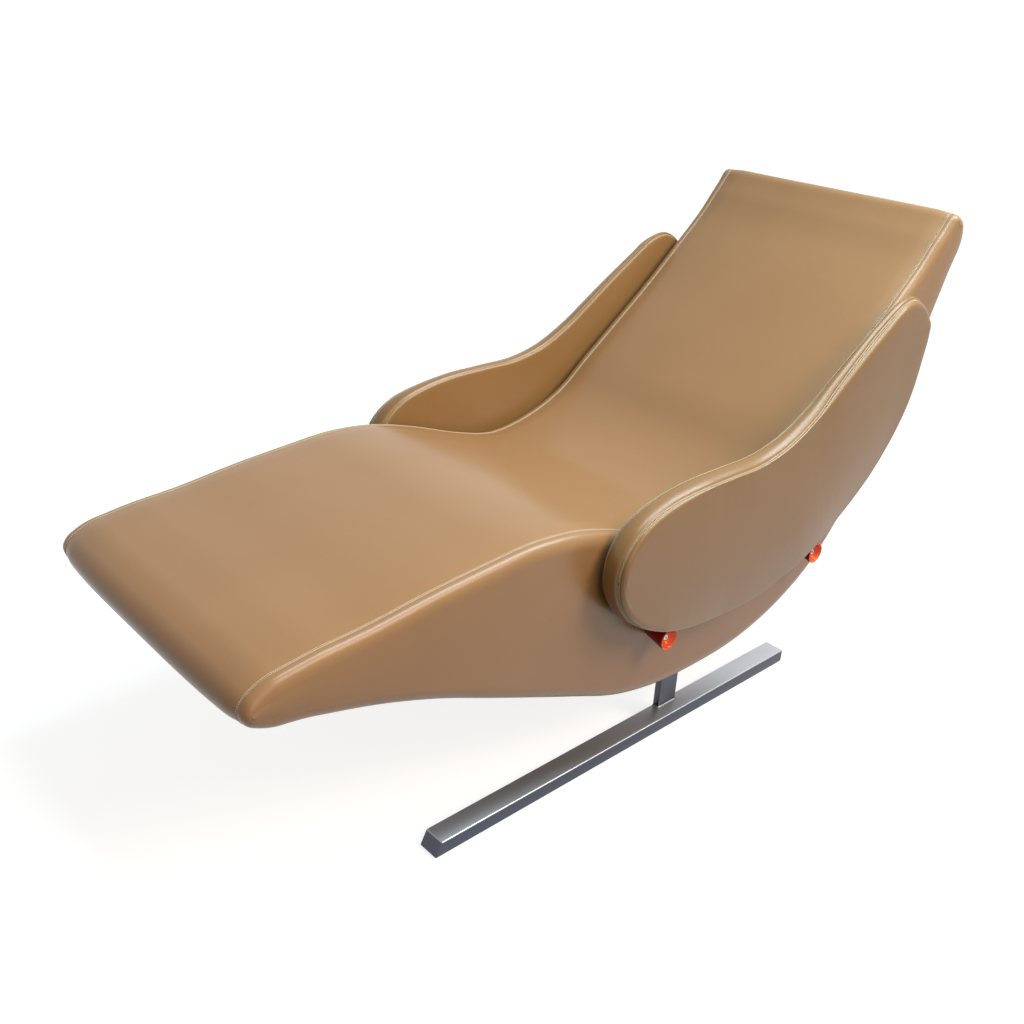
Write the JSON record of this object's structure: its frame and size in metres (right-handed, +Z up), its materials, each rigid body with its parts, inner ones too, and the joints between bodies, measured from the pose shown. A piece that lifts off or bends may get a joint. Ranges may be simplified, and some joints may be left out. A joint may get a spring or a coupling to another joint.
{
  "type": "relaxation lounger",
  "caption": "Wave-shaped upholstered spa lounger between two padded side wings, on a pair of steel skid runners with flat posts.",
  "frame": {"origin": "on the floor, below the centre of the lounger's overall box", "axes": "+X runs along the body from the feet to the head, +Y across the body to the lying person's right, +Z up"},
  "size_m": [1.7538, 0.754, 0.9758],
  "materials": {
    "body_leather": "smooth faux leather, tan, faint fine grain, semi-matt",
    "wing_leather": "smooth faux leather, tan, faint fine grain, semi-matt",
    "birch_plywood": "raw birch plywood",
    "beech": "planed beech",
    "frame_steel": "black powder coat",
    "post_steel": "dark satin steel",
    "runner_steel": "satin steel, brushed along the bar",
    "glide_plastic": "black moulded plastic",
    "orange_plastic": "gloss orange plastic",
    "insert_brass": "turned brass",
    "zinc_steel": "bright zinc plated steel"
  },
  "bodies": {
    "root": {"seat_pad": "body_leather", "side_pad_left": "body_leather", "side_pad_right": "body_leather", "belly_panel": "body_leather", "rib_left": "birch_plywood", "rib_right": "birch_plywood", "seat_deck": "birch_plywood", "foot_rail": "beech", "head_rail": "beech", "calf_rail": "beech", "knee_rail": "beech", "thigh_rail": "beech", "lumbar_rail": "beech", "back_rail": "beech", "cross_beam": "frame_steel", "mount_plate_left": "frame_steel", "mount_plate_right": "frame_steel", "plate_bolts": "zinc_steel", "plate_nuts": "zinc_steel", "post_left": "post_steel", "post_right": "post_steel", "runner_left": "runner_steel", "runner_right": "runner_steel", "glides_left": "glide_plastic", "glides_right": "glide_plastic", "wing_board_left": "birch_plywood", "wing_board_right": "birch_plywood", "wing_inner_pad_left": "wing_leather", "wing_inner_pad_right": "wing_leather", "wing_outer_pad_left": "wing_leather", "wing_outer_pad_right": "wing_leather", "wing_spacers_left": "zinc_steel", "wing_spacers_right": "zinc_steel", "wing_bolts_left": "zinc_steel", "wing_bolts_right": "zinc_steel", "wing_nuts_left": "zinc_steel", "wing_nuts_right": "zinc_steel", "cup_front_left": "orange_plastic", "cup_front_right": "orange_plastic", "cup_rear_left": "orange_plastic", "cup_rear_right": "orange_plastic", "cup_washers": "zinc_steel", "cup_screws": "zinc_steel", "cup_inserts": "insert_brass"}
  },
  "joints": []
}
